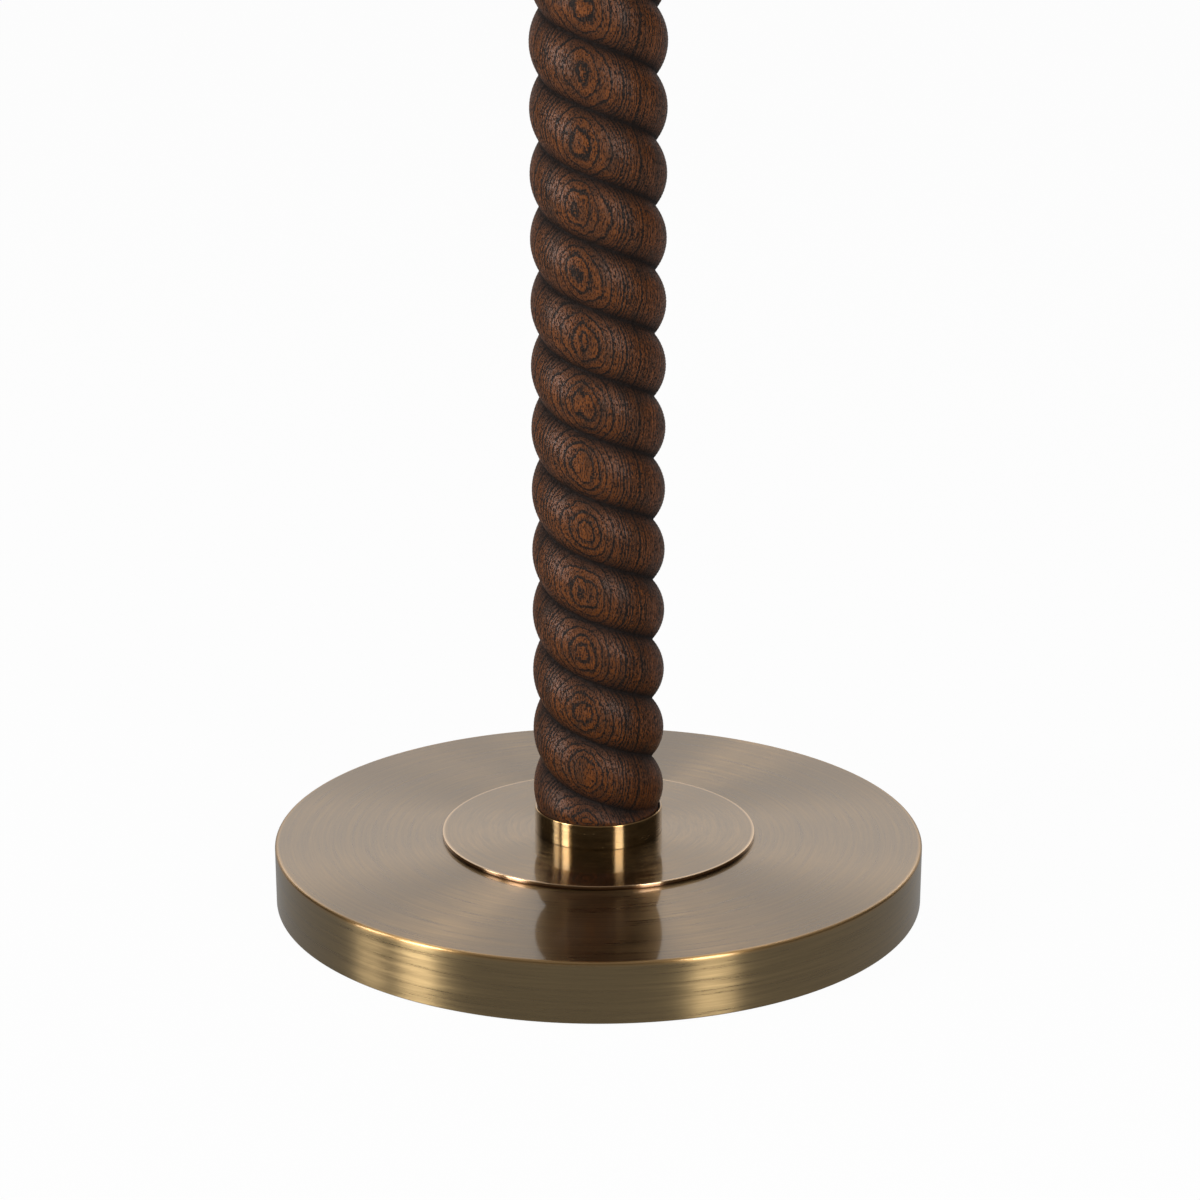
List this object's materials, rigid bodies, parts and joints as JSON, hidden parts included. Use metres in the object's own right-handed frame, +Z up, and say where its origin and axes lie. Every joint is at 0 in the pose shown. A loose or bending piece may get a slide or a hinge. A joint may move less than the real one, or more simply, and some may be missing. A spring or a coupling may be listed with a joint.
{
  "type": "floor lamp",
  "caption": "Floor lamp: a carved rope-twist wooden column on a weighted round brass base, with a tapered drum shade on a harp over a switched lampholder.",
  "frame": {"origin": "on the floor, under the middle of the column", "axes": "+Z up the column, -Y to the front, where the switch is, and +Y to the back, where the cord inlet is"},
  "size_m": [0.4314, 0.4314, 1.4892],
  "materials": {
    "antique_brass": "spun and circular-brushed, aged and lacquered",
    "polished_brass": "polished and lacquered",
    "stained_oak": "open-grained, wire-brushed and stained dark, satin",
    "cast_iron": "as cast, painted black",
    "felt": "pressed wool felt",
    "zinc_steel": "zinc-plated",
    "black_plastic": "moulded, satin",
    "phenolic": "compression-moulded",
    "fibreboard": "pressed fibre tube",
    "bulb_metal": "rolled sheet",
    "opal_glass": "opal, satin inside",
    "shade_wire": "powder-coated",
    "linen": "linen laminated on film",
    "linen_tape": "folded linen tape"
  },
  "bodies": {
    "stand": {"felt_pad": "felt", "base_cladding": "antique_brass", "base_weight": "cast_iron", "cord_bush": "black_plastic", "base_washer": "zinc_steel", "base_nut": "zinc_steel", "step_plate": "antique_brass", "lower_cup": "antique_brass", "rope_twist_column": "stained_oak", "upper_cup": "antique_brass", "threaded_tube": "zinc_steel", "neck_disc": "antique_brass", "neck_tube": "antique_brass", "lock_nut": "polished_brass", "holder_cap": "polished_brass", "holder_set_screw": "zinc_steel", "holder_shell": "polished_brass", "holder_liner": "fibreboard", "holder_core": "phenolic", "terminal_screw_right": "polished_brass", "terminal_screw_left": "zinc_steel", "screw_shell": "polished_brass", "centre_contact": "polished_brass", "bulb_tip": "black_plastic", "bulb_cap": "bulb_metal", "bulb_glass": "opal_glass", "saddle": "polished_brass", "harp": "polished_brass"},
    "switch": {"turn_switch": "black_plastic"},
    "sleeve_right": {"harp_sleeve_right": "polished_brass"},
    "sleeve_left": {"harp_sleeve_left": "polished_brass"},
    "shade": {"harp_swivel": "polished_brass", "shade_spider": "shade_wire", "shade_bottom_ring": "shade_wire", "shade_skin": "linen", "shade_trim_top": "linen_tape", "shade_trim_bottom": "linen_tape", "finial": "polished_brass"}
  },
  "joints": [
    {"name": "switch_turn", "type": "hinge", "parent": "stand", "child": "switch", "pos_m": [0, -0.02, 1.24735], "axis": [0, -1, 0], "continuous": true},
    {"name": "sleeve_right_lift", "type": "slide", "parent": "stand", "child": "sleeve_right", "axis": [0, 0, 1], "range_m": [0, 0.012]},
    {"name": "sleeve_left_lift", "type": "slide", "parent": "stand", "child": "sleeve_left", "axis": [0, 0, 1], "range_m": [0, 0.012]},
    {"name": "shade_turn", "type": "hinge", "parent": "stand", "child": "shade", "pos_m": [0, 0, 1.4566], "axis": [0, 0, 1], "continuous": true}
  ]
}
